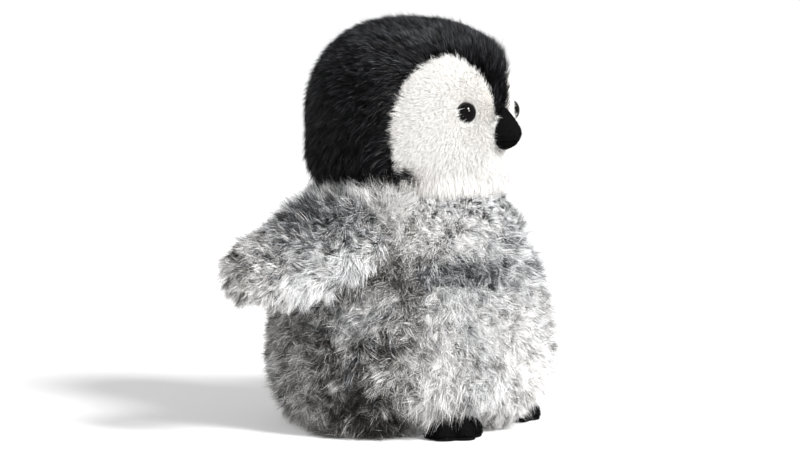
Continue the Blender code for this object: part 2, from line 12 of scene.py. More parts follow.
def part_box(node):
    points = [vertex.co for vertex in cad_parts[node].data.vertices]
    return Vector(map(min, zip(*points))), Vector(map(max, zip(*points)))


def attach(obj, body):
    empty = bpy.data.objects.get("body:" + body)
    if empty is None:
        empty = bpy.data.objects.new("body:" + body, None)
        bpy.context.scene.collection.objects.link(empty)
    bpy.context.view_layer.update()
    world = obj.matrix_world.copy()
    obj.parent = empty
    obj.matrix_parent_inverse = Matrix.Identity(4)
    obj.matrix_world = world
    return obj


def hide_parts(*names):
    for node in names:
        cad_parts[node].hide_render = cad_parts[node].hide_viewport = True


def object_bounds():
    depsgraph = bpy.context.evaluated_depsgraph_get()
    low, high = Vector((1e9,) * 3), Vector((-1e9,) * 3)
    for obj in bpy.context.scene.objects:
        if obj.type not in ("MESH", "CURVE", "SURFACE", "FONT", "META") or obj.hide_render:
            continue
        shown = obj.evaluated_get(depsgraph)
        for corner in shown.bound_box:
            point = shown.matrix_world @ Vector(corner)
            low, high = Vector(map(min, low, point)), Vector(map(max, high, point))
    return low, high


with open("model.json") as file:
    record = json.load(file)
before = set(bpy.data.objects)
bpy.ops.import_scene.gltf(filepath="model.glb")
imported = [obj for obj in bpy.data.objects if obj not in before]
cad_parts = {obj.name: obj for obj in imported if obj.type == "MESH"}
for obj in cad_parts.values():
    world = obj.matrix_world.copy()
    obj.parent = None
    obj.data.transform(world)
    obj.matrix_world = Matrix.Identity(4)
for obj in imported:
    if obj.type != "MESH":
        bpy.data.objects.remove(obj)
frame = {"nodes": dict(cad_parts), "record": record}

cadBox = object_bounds()
mm = 0.001
nodes = frame["nodes"]
rng = np.random.default_rng(24)


def middleOf(node):
    low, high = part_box(node)
    return (Vector(low) + Vector(high)) / 2


# the camera stands off the toy's front right, a little above it
cameraSetup = {
    "azimuth": -62.0, "elevation": 4.3, "distance": 1.50, "lens": 116.0,
    "aim": (-0.0027, 0.0051, 0.1156),
}


def makeCamera(setup):
    azimuth, elevation = math.radians(setup["azimuth"]), math.radians(setup["elevation"])
    level = math.cos(elevation)
    away = Vector((math.sin(azimuth) * level, -math.cos(azimuth) * level, math.sin(elevation)))
    camera = bpy.data.objects.new("camera", bpy.data.cameras.new("camera"))
    camera.data.lens = setup["lens"]
    camera.location = Vector(setup["aim"]) + away * setup["distance"]
    camera.rotation_euler = away.to_track_quat("Z", "Y").to_euler()
    bpy.context.scene.collection.objects.link(camera)
    bpy.context.scene.camera = camera


studio = {
    "world": 0.36, "sun": 3.5, "sunFrom": (-0.22, -1.0, 0.95), "sunAngle": 16.0,
    "window": 7.0, "windowPlace": (-0.28, -1.25, 0.62), "windowSize": (0.22, 0.28),
    "rim": 5.0, "rimPlace": (-0.75, 0.9, 0.95), "rimSize": (0.5, 0.5),
    "floorPaint": 0.93, "floorGlow": 0.16, "floorSize": 3.0, "lampAim": (0, 0, 0.13),
}


def addLight(name, kind, place, energy, size=None):
    lamp = bpy.data.objects.new(name, bpy.data.lights.new(name, kind))
    lamp.data.energy = energy
    if kind == "AREA":
        lamp.data.shape = "RECTANGLE"
        lamp.data.size, lamp.data.size_y = size
    lamp.location = place
    away = Vector(place) - Vector(studio["lampAim"])
    lamp.rotation_euler = away.to_track_quat("Z", "Y").to_euler()
    bpy.context.scene.collection.objects.link(lamp)
    return lamp


def makeStudio(setup):
    world = bpy.data.worlds.new("studio")
    world.use_nodes = True
    background = world.node_tree.nodes["Background"]
    background.inputs["Color"].default_value = (1, 1, 1, 1)
    background.inputs["Strength"].default_value = setup["world"]
    bpy.context.scene.world = world
    sun = addLight("sun", "SUN", setup["sunFrom"], setup["sun"])
    sun.data.angle = math.radians(setup["sunAngle"])
    addLight("window", "AREA", setup["windowPlace"], setup["window"], setup["windowSize"])
    addLight("rim", "AREA", setup["rimPlace"], setup["rim"], setup["rimSize"])

    bm = bmesh.new()
    bmesh.ops.create_circle(bm, cap_ends=True, segments=64, radius=setup["floorSize"])
    floor = finishPiece(bm, "floor")
    paint = plainMaterial("floorPaint", grey(setup["floorPaint"]), roughness=0.9, glow=setup["floorGlow"])
    floor.data.materials.append(paint)
    bm = bmesh.new()
    bmesh.ops.create_icosphere(bm, subdivisions=4, radius=setup["floorSize"])
    bmesh.ops.reverse_faces(bm, faces=bm.faces)
    backdrop = finishPiece(bm, "backdrop")
    backdrop.data.materials.append(plainMaterial("backdropPaper", grey(0), roughness=1.0, glow=1.0))
    for ray in ("visible_diffuse", "visible_glossy", "visible_shadow", "visible_transmission"):
        setattr(backdrop, ray, False)
    floor.visible_glossy = False


def finishPiece(bm, name, sharp=None):
    mesh = bpy.data.meshes.new(name)
    bm.to_mesh(mesh)
    bm.free()
    mesh.shade_smooth()
    if sharp:
        mesh.set_sharp_from_angle(angle=math.radians(sharp))
    piece = bpy.data.objects.new(name, mesh)
    bpy.context.scene.collection.objects.link(piece)
    return piece


def place(piece, body, slotName, material, *stoodFor, fill=None):
    piece.data.materials.clear()
    piece.data.materials.append(material)
    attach(piece, body)
    if stoodFor:
        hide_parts(*stoodFor)
    return piece


# materials
def grey(value, warmth=0.0):
    return (value * (1 + warmth), value, value * (1 - warmth))


def newMaterial(name, roughness):
    material = bpy.data.materials.new(name)
    material.use_nodes = True
    shader = material.node_tree.nodes["Principled BSDF"]
    shader.inputs["Roughness"].default_value = roughness
    return material, material.node_tree, shader


def plainMaterial(name, colour, roughness, glow):
    material, tree, shader = newMaterial(name, roughness)
    shader.inputs["Base Color"].default_value = (*colour, 1)
    shader.inputs["Emission Color"].default_value = (1, 1, 1, 1)
    shader.inputs["Emission Strength"].default_value = glow
    return material


def colourRamp(tree, factor, stops):
    colours = tree.nodes.new("ShaderNodeValToRGB")
    while len(colours.color_ramp.elements) < len(stops):
        colours.color_ramp.elements.new(0.5)
    for element, (spot, colour) in zip(colours.color_ramp.elements, stops):
        element.position = spot
        element.color = (*colour, 1)
    tree.links.new(factor, colours.inputs["Fac"])
    return colours.outputs["Color"]


# cloth, felt and fibre: a noise or a weave drives both the colour and the bump; black cloth shines less
def clothMaterial(name, dark, light, roughness, size, stretch=(1, 1, 1),
                  weave=False, bump=0.3, depth=0.2 * mm):
    material, tree, shader = newMaterial(name, roughness)
    isBlack = max(light) < 0.05
    shader.inputs["Specular IOR Level"].default_value = 0.15 if isBlack else 0.5
    coordinates = tree.nodes.new("ShaderNodeTexCoord")
    mapping = tree.nodes.new("ShaderNodeMapping")
    mapping.inputs["Scale"].default_value = stretch
    tree.links.new(coordinates.outputs["Object"], mapping.inputs["Vector"])
    fine = tree.nodes.new("ShaderNodeTexNoise")
    fine.inputs["Scale"].default_value = 1 / size
    fine.inputs["Detail"].default_value = 4
    tree.links.new(mapping.outputs["Vector"], fine.inputs["Vector"])
    grain = fine.outputs["Fac"]
    if weave:
        yarns = []
        for direction in ("X", "Z"):
            wave = tree.nodes.new("ShaderNodeTexWave")
            wave.bands_direction = direction
            wave.inputs["Scale"].default_value = 0.5 / size
            wave.inputs["Distortion"].default_value = 0.6
            tree.links.new(mapping.outputs["Vector"], wave.inputs["Vector"])
            yarns.append(wave.outputs["Fac"])
        crossed = tree.nodes.new("ShaderNodeMath")
        crossed.operation = "MAXIMUM"
        tree.links.new(yarns[0], crossed.inputs[0])
        tree.links.new(yarns[1], crossed.inputs[1])
        grain = crossed.outputs["Value"]
    tree.links.new(colourRamp(tree, grain, [(0.25, dark), (0.75, light)]), shader.inputs["Base Color"])
    rough = tree.nodes.new("ShaderNodeBump")
    rough.inputs["Strength"].default_value = bump
    rough.inputs["Distance"].default_value = depth
    tree.links.new(grain, rough.inputs["Height"])
    tree.links.new(rough.outputs["Normal"], shader.inputs["Normal"])
    return material


# pile: u is the strand's shade, v runs from its root to its tip, and the root's colours turn into the tip's
def pileMaterial(name, rootStops, tipStops, roughness, specular, turn):
    material, tree, shader = newMaterial(name, roughness)
    shader.inputs["Specular IOR Level"].default_value = specular
    uvMap = tree.nodes.new("ShaderNodeUVMap")
    uvMap.uv_map = "OFBake"
    split = tree.nodes.new("ShaderNodeSeparateXYZ")
    tree.links.new(uvMap.outputs["UV"], split.inputs["Vector"])
    rise = tree.nodes.new("ShaderNodeMapRange")
    rise.interpolation_type = "SMOOTHSTEP"
    rise.inputs["From Min"].default_value, rise.inputs["From Max"].default_value = turn
    tree.links.new(split.outputs["Y"], rise.inputs["Value"])
    blend = tree.nodes.new("ShaderNodeMix")
    blend.data_type = "RGBA"
    tree.links.new(rise.outputs["Result"], blend.inputs["Factor"])
    # a Mix node has sockets for every data type, of which the colours are used here
    colourIn = [socket for socket in blend.inputs if socket.type == "RGBA"]
    tree.links.new(colourRamp(tree, split.outputs["X"], rootStops), colourIn[0])
    tree.links.new(colourRamp(tree, split.outputs["X"], tipStops), colourIn[1])
    colourOut = [socket for socket in blend.outputs if socket.type == "RGBA"][0]
    tree.links.new(colourOut, shader.inputs["Base Color"])
    return material


# the left half of the ramps is a cool grey pile and the right half a warm one, each from dark to light
greyPile = pileMaterial(
    "greyPile",
    [(0.0, grey(0.004, -0.1)), (0.25, grey(0.02, -0.06)), (0.49, grey(0.30, -0.01)),
     (0.51, grey(0.006, 0.14)), (0.75, grey(0.03, 0.10)), (1.0, grey(0.28, 0.04))],
    [(0.0, grey(0.010, -0.32)), (0.25, grey(0.33, -0.05)), (0.49, grey(1.0)),
     (0.51, grey(0.012, 0.18)), (0.75, grey(0.34, 0.07)), (1.0, grey(1.0, 0.01))],
    roughness=0.45, specular=0.5, turn=(0.25, 0.80),
)
whitePile = pileMaterial(
    "whitePile",
    [(0.0, (0.40, 0.37, 0.34)), (0.3, (0.82, 0.79, 0.75)), (1.0, (0.97, 0.96, 0.94))],
    [(0.0, (0.50, 0.47, 0.44)), (0.3, (0.94, 0.92, 0.89)), (1.0, (1.0, 1.0, 0.99))],
    roughness=0.5, specular=0.3, turn=(0.1, 0.6),
)
# the light, bluish top of the black pile's tip ramp is the colour of the painted sheen and of the lightest
# single strands
blackPile = pileMaterial(
    "blackPile",
    [(0.0, grey(0.001)), (1.0, (0.002, 0.002, 0.0022))],
    [(0.0, (0.001, 0.001, 0.0012)), (0.5, (0.005, 0.005, 0.006)), (1.0, (0.13, 0.133, 0.15))],
    roughness=0.34, specular=0.16, turn=(0.2, 0.9),
)
velourPile = pileMaterial(
    "velourPile",
    [(0.0, grey(0.001)), (1.0, grey(0.002))],
    [(0.0, grey(0.001)), (1.0, (0.005, 0.005, 0.0055))],
    roughness=0.8, specular=0.04, turn=(0.2, 0.9),
)
greyBacking = clothMaterial("greyBacking", grey(0.03), grey(0.10), roughness=0.9, size=0.5 * mm, weave=True)
whiteBacking = clothMaterial(
    "whiteBacking", (0.55, 0.52, 0.48), (0.75, 0.72, 0.68), roughness=0.9, size=0.5 * mm, weave=True)
blackBacking = clothMaterial(
    "blackBacking", grey(0.002), (0.007, 0.007, 0.008), roughness=0.9, size=0.5 * mm, weave=True)
blackFelt = clothMaterial(
    "blackFelt", grey(0.001), (0.004, 0.004, 0.0045), roughness=0.95, size=0.6 * mm, bump=0.6)
velourCloth = clothMaterial(
    "velourCloth", grey(0.001), (0.004, 0.004, 0.0045), roughness=0.85, size=0.4 * mm, bump=0.5)
fibreFill = clothMaterial(
    "fibreFill", (0.72, 0.72, 0.70), (0.97, 0.97, 0.96), roughness=1.0, size=1.6 * mm,
    stretch=(1, 1, 3.5), bump=0.8, depth=0.8 * mm)
cottonLining = clothMaterial(
    "cottonLining", (0.68, 0.66, 0.60), (0.90, 0.89, 0.85), roughness=0.9, size=0.35 * mm, weave=True)
sewingThread = clothMaterial(
    "sewingThread", grey(0.001), grey(0.008), roughness=0.6, size=0.35 * mm,
    stretch=(1, 1, 0.3), bump=0.6)
washerPlastic = clothMaterial(
    "washerPlastic", (0.80, 0.80, 0.77), (0.90, 0.90, 0.88), roughness=0.4, size=2 * mm, bump=0.05)
beanPlastic = clothMaterial(
    "beanPlastic", (0.62, 0.63, 0.68), (0.90, 0.90, 0.90), roughness=0.35, size=5 * mm, bump=0.05)

# each cloth's slot, its pile and its backing
greyCoat = {"slot": "grey_pile", "pile": greyPile, "backing": greyBacking}
whiteCoat = {"slot": "white_pile", "pile": whitePile, "backing": whiteBacking}
blackCoat = {"slot": "black_pile", "pile": blackPile, "backing": blackBacking}
velourCoat = {"slot": "black_velour", "pile": velourPile, "backing": velourCloth}
feltCoat = {"slot": "black_felt", "pile": velourPile, "backing": blackFelt}

print("camera and studio")
makeCamera(cameraSetup)
makeStudio(studio)
bpy.context.scene.view_settings.view_transform = "Standard"


# a form is a ball of triangles cast onto the panels from outside, with its radii evened over the facets
formRules = {"castFrom": 0.4, "leastReach": 2 * mm, "alongBias": 2.2}


def nodeTree(*names):
    corners, triangles = [], []
    for name in names:
        mesh = nodes[name].data
        start = len(corners)
        corners += [vert.co.copy() for vert in mesh.vertices]
        triangles += [[start + i for i in face.vertices] for face in mesh.polygons]
    return BVHTree.FromPolygons(corners, triangles)


def unit(vectors):
    return vectors / np.maximum(np.linalg.norm(vectors, axis=-1, keepdims=True), 1e-12)


# the mean of the known values next to each point
def spread(pairs, values, known):
    total, count = np.zeros(len(values)), np.zeros(len(values))
    for a, b in ((0, 1), (1, 0)):
        np.add.at(total, pairs[:, a], np.where(known[pairs[:, b]], values[pairs[:, b]], 0))
        np.add.at(count, pairs[:, a], known[pairs[:, b]])
    return total / np.maximum(count, 1), count > 0


def wrapForm(names, centre, along=None, level=6, evening=8):
    tree = nodeTree(*names)
    bm = bmesh.new()
    bmesh.ops.create_icosphere(bm, subdivisions=level, radius=1.0)
    rays = np.array([vert.co for vert in bm.verts])
    pairs = np.array([[vert.index for vert in edge.verts] for edge in bm.edges])
    faces = np.array([[vert.index for vert in face.verts] for face in bm.faces])
    bm.free()
    if along is not None:  # a long piece gets its points where it is long
        rays = unit(rays + formRules["alongBias"] * (rays @ along)[:, None] * along[None, :])
    reach = np.zeros(len(rays))
    for i, ray in enumerate(rays):
        ray = Vector(ray)
        hit = tree.ray_cast(centre + ray * formRules["castFrom"], -ray, formRules["castFrom"])[0]
        if hit is not None:
            reach[i] = (hit - centre).dot(ray)
    known = reach > formRules["leastReach"]
    while not known.all():
        near, found = spread(pairs, reach, known)
        reach = np.where(known, reach, near)
        known |= found
    for _ in range(evening):
        reach = 0.5 * reach + 0.5 * spread(pairs, reach, known)[0]
    points = np.array(centre) + rays * reach[:, None]
    return makeForm(points, faces)


def makeForm(points, faces):
    a, b, c = (points[faces[:, k]] for k in range(3))
    flat = np.cross(b - a, c - a)
    normals = np.zeros_like(points)
    for k in range(3):
        np.add.at(normals, faces[:, k], flat)
    tree = BVHTree.FromPolygons([Vector(point) for point in points], faces.tolist())
    return {
        "points": points, "faces": faces, "normals": unit(normals), "tree": tree,
        "areas": np.linalg.norm(flat, axis=1) / 2, "middles": (a + b + c) / 3,
    }


# which panel each face of a form lies on, or none where no panel is near
def labelFaces(form, names, within=2.5 * mm):
    trees = [nodeTree(name) for name in names]
    labels = np.full(len(form["faces"]), -1)
    for i, middle in enumerate(form["middles"]):
        best = within
        for k, tree in enumerate(trees):
            distance = tree.find_nearest(Vector(middle), best)[3]
            if distance is not None and distance < best:
                best = distance
                labels[i] = k
    return labels


def distancesTo(tree, spots):
    return np.array([tree.find_nearest(Vector(spot))[3] for spot in spots])


# a node's own mesh with its facets cut finer
def finerMesh(node, finest):
    bm = bmesh.new()
    bm.from_mesh(nodes[node].data)
    bmesh.ops.remove_doubles(bm, verts=bm.verts, dist=0.005 * mm)
    for _ in range(3):
        long = [edge for edge in bm.edges if edge.calc_length() > finest]
        if long:
            bmesh.ops.subdivide_edges(bm, edges=long, cuts=1)
            bmesh.ops.triangulate(bm, faces=[face for face in bm.faces if len(face.verts) > 3])
    bm.normal_update()
    return bm


clothRules = {"near": 1.5 * mm, "below": 0.05 * mm, "leastFacing": 0.25, "fill": 0.8}


# a panel's cloth: the CAD panel with its facets rounded onto the form
def panelCloth(node, form, name, body, coat, finest=5 * mm):
    bm = finerMesh(node, finest)
    for vert in bm.verts:
        spot, normal = form["tree"].find_nearest(vert.co, clothRules["near"])[:2]
        if spot is not None and vert.normal.dot(normal) > clothRules["leastFacing"]:
            vert.co = spot - normal * clothRules["below"]
    piece = finishPiece(bm, name, sharp=50)
    return place(piece, body, coat["slot"], coat["backing"], node, fill=clothRules["fill"])


# smooth random fields, for mottling and for the lie of the pile
noiseCells = 16
noiseShift = 100.0  # keeps every cell's number above zero


def smoothNoise(points, size, seed):
    table = np.random.default_rng(seed).random((noiseCells, noiseCells, noiseCells))
    spots = points / size + noiseShift
    cell = np.floor(spots).astype(int)
    part = spots - cell
    part = part * part * (3 - 2 * part)
    value = np.zeros(len(points))
    for i in (0, 1):
        for j in (0, 1):
            for k in (0, 1):
                step = np.array([i, j, k])
                corner = table[tuple(((cell + step) % noiseCells).T)]
                value += corner * np.where(step, part, 1 - part).prod(axis=1)
    return value * 2 - 1


# a smooth random direction at each point; each wave has a size, a strength and a seed
def swirl(points, *waves):
    turned = np.zeros_like(points)
    for size, strength, seed in waves:
        noise = [smoothNoise(points, size, seed + k) for k in range(3)]
        turned += strength * np.stack(noise, axis=1)
    return turned


def ramp(low, high, value):  # 0 at low, 1 at high, smooth in between
    t = np.clip((value - low) / (high - low), 0, 1)
    return t * t * (3 - 2 * t)


def hill(value, centre, width):  # 1 at the centre, falling away on both sides
    return np.exp(-((value - centre) / width) ** 2)


def azimuthOf(roots):  # in degrees from the front, towards the toy's right side
    return np.degrees(np.arctan2(-roots[:, 0], -roots[:, 1]))


def tangent(vectors, normals):
    return unit(vectors - normals * (vectors * normals).sum(axis=1, keepdims=True))


def scatterRoots(form, chosen, count, jitter):
    areas = form["areas"][chosen]
    faces = form["faces"][chosen]
    pick = rng.choice(len(faces), count, p=areas / areas.sum())
    u, v = rng.random(count), rng.random(count)
    over = u + v > 1
    u[over], v[over] = 1 - u[over], 1 - v[over]
    weights = np.stack([1 - u - v, u, v], axis=1)[:, :, None]
    roots = (form["points"][faces[pick]] * weights).sum(axis=1)
    normals = unit((form["normals"][faces[pick]] * weights).sum(axis=1))
    sideways = rng.normal(size=roots.shape) * jitter
    return roots + sideways - normals * (sideways * normals).sum(axis=1, keepdims=True), normals


# neighbouring strands lean towards their tuft's leader
def findTufts(roots, perTuft):
    leaders = rng.choice(len(roots), max(int(len(roots) / perTuft), 1), replace=False)
    tree = KDTree(len(leaders))
    for k, leader in enumerate(leaders):
        tree.insert(Vector(roots[leader]), k)
    tree.balance()
    return leaders[np.array([tree.find(Vector(root))[1] for root in roots])]


# no strand reaches into the floor, or further out than this from the panels' own box
pileReach = {"outwards": 13 * mm, "overFloor": 0.25 * mm}
pileLimits = np.array(cadBox) + np.outer([-1, 1], [pileReach["outwards"]] * 3)
pileLimits[0, 2] = cadBox[0][2] + pileReach["overFloor"]
ribbon = {
    "sunk": 0.4 * mm, "firstLean": 0.6, "clumpRise": 1.2, "twist": 0.45,
    "mapMargin": 0.004, "mapHalf": 0.003,
}


# a strand is a narrow ribbon of a few steps from root to tip, with its flat side outwards
def growPile(name, body, coat, form, chosen, count, style, comb, shade, trim=None):
    roots, normals = scatterRoots(form, chosen, count, style["jitter"])
    if trim is not None:
        kept = trim(roots) > 0
        roots, normals, count = roots[kept], normals[kept], int(kept.sum())
    leaders = findTufts(roots, style["perTuft"])
    length = style["length"] * (1 + style["uneven"] * rng.normal(size=count).clip(-2, 2))
    if trim is not None:
        length *= trim(roots)
    length = length[:, None]
    lean = np.radians(style["lean"] + style["leanSpread"] * rng.normal(size=count))[:, None]
    wild = tangent(comb(roots, normals) + style["wild"] * rng.normal(size=roots.shape), normals)
    early = lean * ribbon["firstLean"]
    first = normals * np.cos(early) + wild * np.sin(early)
    last = normals * np.cos(lean * style["curl"]) + wild * np.sin(lean * style["curl"])
    last = unit(last + style["frizz"] * rng.normal(size=roots.shape))
    parts = len(style["steps"])
    line = [roots - normals * ribbon["sunk"]]
    for k, step in enumerate(style["steps"]):
        t = (k + 0.5) / parts
        line.append(line[-1] + unit(first * (1 - t) + last * t) * length * step)
    line = np.stack(line, axis=1)
    pull = style["clump"] * np.linspace(0, 1, parts + 1)[None, :, None] ** ribbon["clumpRise"]
    line = line * (1 - pull) + line[leaders] * pull
    line = np.clip(line, pileLimits[0], pileLimits[1])
    along = unit(line[:, 1:] - line[:, :-1])
    along = np.concatenate([along, along[:, -1:]], axis=1)
    side = unit(np.cross(along, normals[:, None, :] + ribbon["twist"] * rng.normal(size=(count, 1, 3))))
    facing = np.cross(side, along)
    outwards = np.where((facing * normals[:, None, :]).sum(axis=2, keepdims=True) < 0, -1, 1)
    side, facing = side * outwards, facing * outwards
    taper = np.linspace(1, style["tipWidth"], parts + 1)[None, :-1, None] * style["width"] / 2
    ring = np.stack([line[:, :-1] - side[:, :-1] * taper, line[:, :-1] + side[:, :-1] * taper], axis=2)
    points = np.concatenate([ring.reshape(count, 2 * parts, 3), line[:, -1:]], axis=1)
    glance = unit(facing + style["softness"] * normals[:, None, :])
    glance = np.concatenate([np.repeat(glance[:, :-1], 2, axis=1), glance[:, -1:]], axis=1)
    reach = np.concatenate([[0], np.cumsum(style["steps"])])
    margin, half = ribbon["mapMargin"], ribbon["mapHalf"]
    v = margin + (1 - 2 * margin) * np.concatenate([np.repeat(reach[:-1], 2), [1.0]])
    across = np.concatenate([np.tile([-half, half], parts), [0.0]])
    u = shade(roots, leaders)[:, None] + across[None, :]
    mesh = ribbonMesh(name, points, np.stack([u, np.broadcast_to(v, u.shape)], axis=2), glance, parts)
    piece = bpy.data.objects.new(name, mesh)
    bpy.context.scene.collection.objects.link(piece)
    place(piece, body, coat["slot"], coat["pile"])
    print(f"  {name}: {count} strands")


def asShade(tone):  # keeps a strand's shade inside the colour ramps
    return np.clip(tone, 0.01, 0.99)


def evenShade(middle, spreading):
    def shade(roots, leaders):
        return asShade(middle + spreading * rng.normal(size=len(roots)))

    return shade


# dark flecks and broad waves of tone over a pile
def mottled(spots, look):
    tone = np.full(len(spots), look["tone"])
    for size, depth, seed in look["waves"]:
        tone += depth * smoothNoise(spots, size, seed)
    for size, low, high, depth, seed in look["flecks"]:
        tone -= depth * ramp(low, high, smoothNoise(spots, size, seed))
    return tone


# a pile has too many ribbons to model one by one, so their mesh is filled from arrays
def ribbonMesh(name, points, uv, glance, parts):
    count, size = points.shape[:2]
    start = (np.arange(count) * size)[:, None]
    quads = [start + np.array([[2 * k, 2 * k + 1, 2 * k + 3, 2 * k + 2]]) for k in range(parts - 1)]
    quads = np.concatenate(quads) if quads else np.zeros((0, 4), dtype=int)
    tips = start + np.array([[2 * parts - 2, 2 * parts - 1, 2 * parts]])
    loops = np.concatenate([quads.ravel(), tips.ravel()])
    starts = np.concatenate([np.arange(len(quads)) * 4, len(quads) * 4 + np.arange(count) * 3])
    mesh = bpy.data.meshes.new(name)
    mesh.vertices.add(count * size)
    mesh.vertices.foreach_set("co", points.astype(np.float32).ravel())
    mesh.loops.add(len(loops))
    mesh.loops.foreach_set("vertex_index", loops.astype(np.int32))
    mesh.polygons.add(len(starts))
    mesh.polygons.foreach_set("loop_start", starts.astype(np.int32))
    mesh.update(calc_edges=True)
    layer = mesh.uv_layers.new(name="OFBake")
    layer.data.foreach_set("uv", uv.reshape(-1, 2)[loops].astype(np.float32).ravel())
    mesh.polygons.foreach_set("use_smooth", np.ones(len(starts), dtype=bool))
    mesh.normals_split_custom_set_from_vertices(glance.reshape(-1, 3).astype(np.float32))
    return mesh


# torso
torsoPanels = ["belly_panel", "back_panel_right", "back_panel_left", "base_panel"]
torsoForm = wrapForm(torsoPanels, Vector((0, 0, 0.068)), evening=10)
torsoLabels = labelFaces(torsoForm, torsoPanels)
torsoStyle = {
    "length": 11.5 * mm, "uneven": 0.22, "lean": 50, "leanSpread": 20, "wild": 0.75, "curl": 1.5,
    "frizz": 0.28, "steps": (0.5, 0.5), "clump": 0.70, "perTuft": 13, "width": 0.35 * mm,
    "tipWidth": 0.6, "softness": 0.12, "jitter": 1.0 * mm,
}
torsoStrands = {"part": 47000, "base": 9000, "waist": 0.062}  # the waist parts chest and belly
baseStyle = dict(torsoStyle, length=3 * mm, lean=80, clump=0.3)
collar = {"from": 0.108, "to": 0.130, "longer": 0.45, "shorter": 0.55, "front": 50, "side": 82}
# each wave of tone has a size, a depth and a seed
# each fleck has a size, the noise where it starts and is full, a depth and a seed
torsoMottle = {
    "tone": 0.72, "front": 0.20, "frontAt": 5,
    "waves": [(24 * mm, 0.22, 3), (10 * mm, 0.16, 5)],
    "flecks": [(4.2 * mm, 0.25, 0.60, 0.55, 6), (9 * mm, 0.2, 0.6, 0.3, 8)],
    "warmth": 0.35, "warmWave": (30 * mm, 0.4, 9), "warmSides": 0.25,
    "patchSize": 6 * mm, "patchEven": 0.9, "patchUneven": 0.9, "patchCool": -0.6, "patchWarm": 0.3,
}
torsoLie = {"down": 0.9, "raised": 1.9, "swirls": [(18 * mm, 0.9, 20), (6 * mm, 1.1, 30)]}
# azimuth towards its right side in degrees, height, half sizes in degrees and metres, depth, coolness
patches = [
    (30, 0.0925, 16, 0.007, 0.95, 1), (50, 0.094, 10, 0.006, 0.45, 1), (70, 0.102, 9, 0.014, 0.45, 0),
    (82, 0.018, 15, 0.020, 1.15, 0), (73, 0.055, 13, 0.010, 0.75, 0), (108, 0.045, 18, 0.025, 0.20, 0),
    # the patch at 102 degrees and 0.124 m is partly the collar's own light tone and partly painted light,
    # lightening the pile where the head's shadow falls
    (102, 0.124, 34, 0.018, -0.85, 0), (12, 0.045, 26, 0.040, -0.42, 0),
    (52, 0.040, 14, 0.038, -0.26, 0), (45, 0.118, 40, 0.012, -0.12, 0),
    (-40, 0.095, 20, 0.010, 0.5, 1), (-85, 0.03, 16, 0.02, 0.5, 0), (-130, 0.075, 20, 0.02, 0.45, 1),
    (165, 0.10, 22, 0.018, 0.4, 0), (178, 0.035, 22, 0.018, 0.45, 0),
]


greyMix = {
    "tuft": 0.32, "strand": 0.30, "lightTufts": 0.14, "lightTone": 0.35, "tuftWarmth": 0.6,
    "coolFrom": 0.008, "warmFrom": 0.512, "span": 0.48,
}


# both tufts and strands vary, and a cool strand's shade lies in the left half of the ramps
def greyShade(tone, warmth, leaders):
    tuft = rng.normal(size=len(tone))[leaders]
    light = rng.random(len(tone))[leaders] < greyMix["lightTufts"]
    tone = tone + greyMix["tuft"] * tuft + greyMix["strand"] * rng.normal(size=len(tone))
    tone = asShade(tone + greyMix["lightTone"] * light)
    share = greyMix["tuftWarmth"]
    warm = rng.random(len(tone))[leaders] * share + rng.random(len(tone)) * (1 - share) < warmth
    return np.where(warm, greyMix["warmFrom"], greyMix["coolFrom"]) + greyMix["span"] * tone


def torsoShade(roots, leaders):
    look = torsoMottle
    spots = (roots[leaders] + roots) / 2
    azimuth = azimuthOf(spots)
    tone = mottled(spots, look) + look["front"] * np.cos(np.radians(azimuth - look["frontAt"]))
    size, depth, seed = look["warmWave"]
    warmth = look["warmth"] + depth * smoothNoise(spots, size, seed)
    warmth += look["warmSides"] * ramp(60, 110, np.abs(azimuth))
    blotch = look["patchEven"] + look["patchUneven"] * smoothNoise(spots, look["patchSize"], 7)
    for centre, height, wide, tall, depth, cool in patches:
        away = (azimuth - centre + 180) % 360 - 180
        near = hill(away, 0, wide) * hill(spots[:, 2], height, tall)
        tone -= depth * near * blotch
        warmth += near * (look["patchCool"] if cool else look["patchWarm"])
    return greyShade(tone, warmth, leaders)


# the collar's pile stands up at the sides and the back and lies down under the face
def collarSide(roots):
    return ramp(collar["front"], collar["side"], np.abs(azimuthOf(roots)))


def torsoComb(roots, normals):
    rise = ramp(collar["from"], collar["to"], roots[:, 2]) * collarSide(roots)
    down = np.array([0, 0, -torsoLie["down"]]) * (1 - torsoLie["raised"] * rise)[:, None]
    return tangent(down + swirl(roots, *torsoLie["swirls"]), normals)


# the pile's length over the torso, as a share of its usual length
def torsoLength(roots):
    side, height = np.abs(azimuthOf(roots)), roots[:, 2]
    edge = ramp(collar["from"], collar["to"], height)
    scale = 1 + edge * ((collar["longer"] + collar["shorter"]) * collarSide(roots) - collar["shorter"])
    scale -= 0.35 * ramp(85, 110, side) * ramp(0.118, 0.128, height)  # the nape
    scale += 0.25 * hill(side, 122, 32) * hill(height, 0.110, 0.010)  # the shoulders
    scale += 0.80 * hill(side, 95, 30) * ramp(0.020, 0.004, height)  # the hem beside the feet
    scale += 0.75 * hill(side, 44, 15) * hill(height, 0.024, 0.009)  # the fringe over the feet
    return scale - 0.55 * hill(side, 14, 18) * ramp(0.022, 0.006, height)  # between the feet


